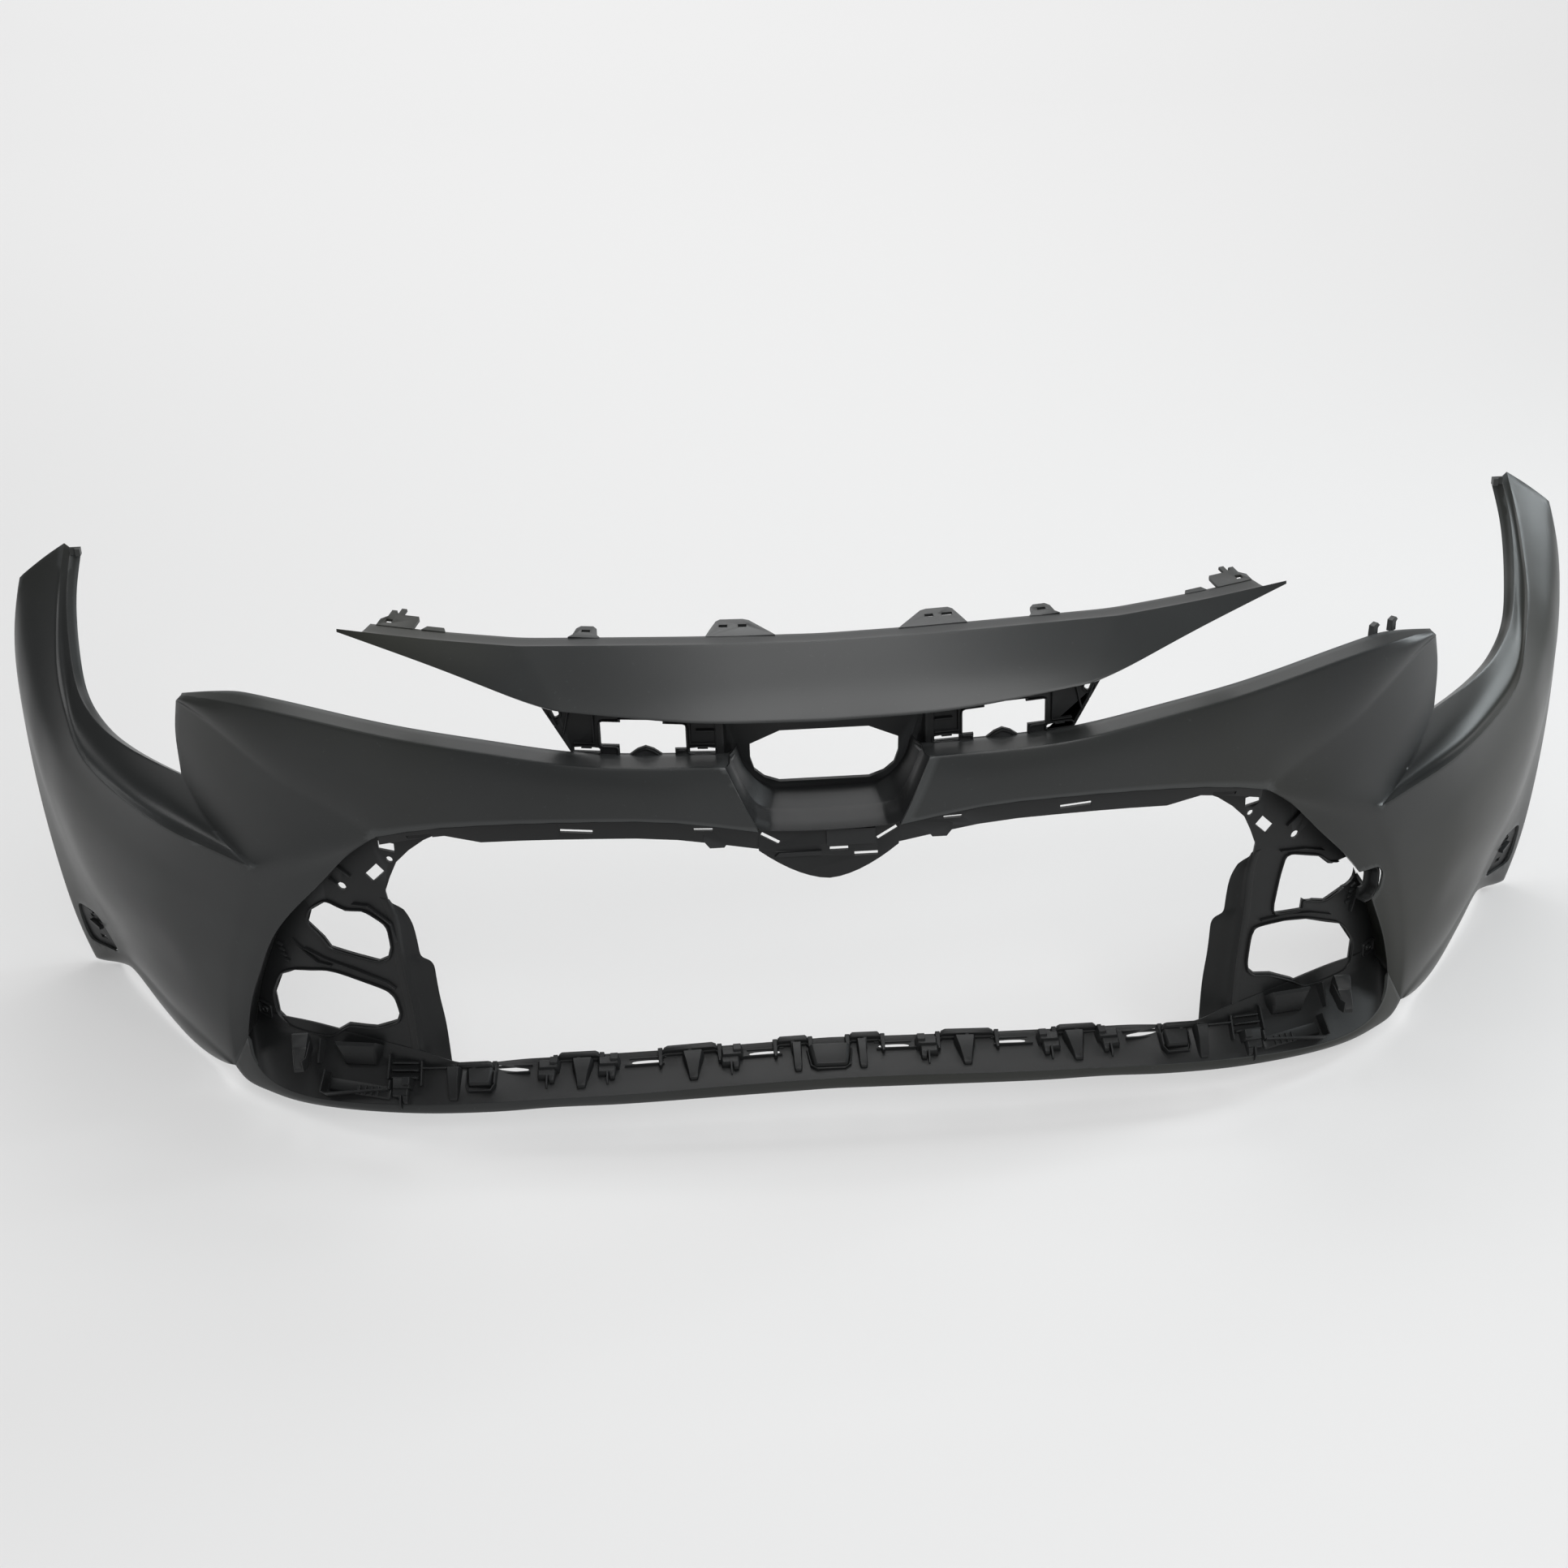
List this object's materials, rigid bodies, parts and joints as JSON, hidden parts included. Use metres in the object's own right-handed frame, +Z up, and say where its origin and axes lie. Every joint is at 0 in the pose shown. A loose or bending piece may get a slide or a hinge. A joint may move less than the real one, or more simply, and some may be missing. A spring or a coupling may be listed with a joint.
{
  "type": "front bumper cover",
  "caption": "Moulded front bumper cover with an upper band, wide lower grille opening, fog lamp recesses and wings that reach the wheel arches.",
  "frame": {"origin": "middle of the cover's bounding box in X and Y, at the height of its lowest point", "axes": "+X across the car to the viewer's right when seen from the front, +Y rearwards, +Z up"},
  "size_m": [1.7792, 0.5885, 0.5787],
  "materials": {
    "skin": "smooth unpainted moulded plastic with a low sheen",
    "inner": "dull, finely grained moulded plastic"
  },
  "bodies": {
    "root": {"nose_panel": "skin", "nose_tip_right": "skin", "nose_tip_left": "skin", "nose_flange": "skin", "nose_underside": "inner", "emblem_cheek_right": "inner", "emblem_cheek_left": "inner", "emblem_floor": "inner", "emblem_seat": "inner", "emblem_chin": "inner", "band_right": "skin", "band_left": "skin", "band_flange_right": "inner", "band_flange_left": "inner", "horn_cheek_right": "skin", "horn_cheek_left": "skin", "corner_skin_right": "skin", "corner_skin_left": "skin", "wing_skin_right": "skin", "wing_skin_left": "skin", "wing_shelf_right": "skin", "wing_shelf_left": "skin", "fender_flange_right": "skin", "fender_flange_left": "skin", "foot_return_right": "inner", "foot_return_left": "inner", "lip_end_right": "skin", "lip_end_left": "skin", "lip_middle": "skin", "recess_wall_right": "inner", "recess_wall_left": "inner", "grille_column_right": "inner", "grille_column_left": "inner", "grille_stop_right": "inner", "grille_stop_left": "inner", "double_tab_right": "skin", "double_tab_left": "skin", "single_tab_right": "skin", "single_tab_left": "skin", "locating_bump_right": "skin", "locating_bump_left": "skin", "lamp_bracket_right": "skin", "lamp_bracket_left": "skin", "upper_grille_panel_right": "inner", "upper_grille_panel_left": "inner", "arch_pocket_right": "inner", "arch_pocket_left": "inner", "ledge_middle": "inner", "ledge_end_right": "inner", "ledge_end_left": "inner", "fog_panel_right": "inner", "fog_panel_left": "inner", "horn_lug_inner": "skin", "horn_lug_outer": "skin", "wing_hook_right": "skin", "wing_hook_left": "skin"}
  },
  "joints": []
}
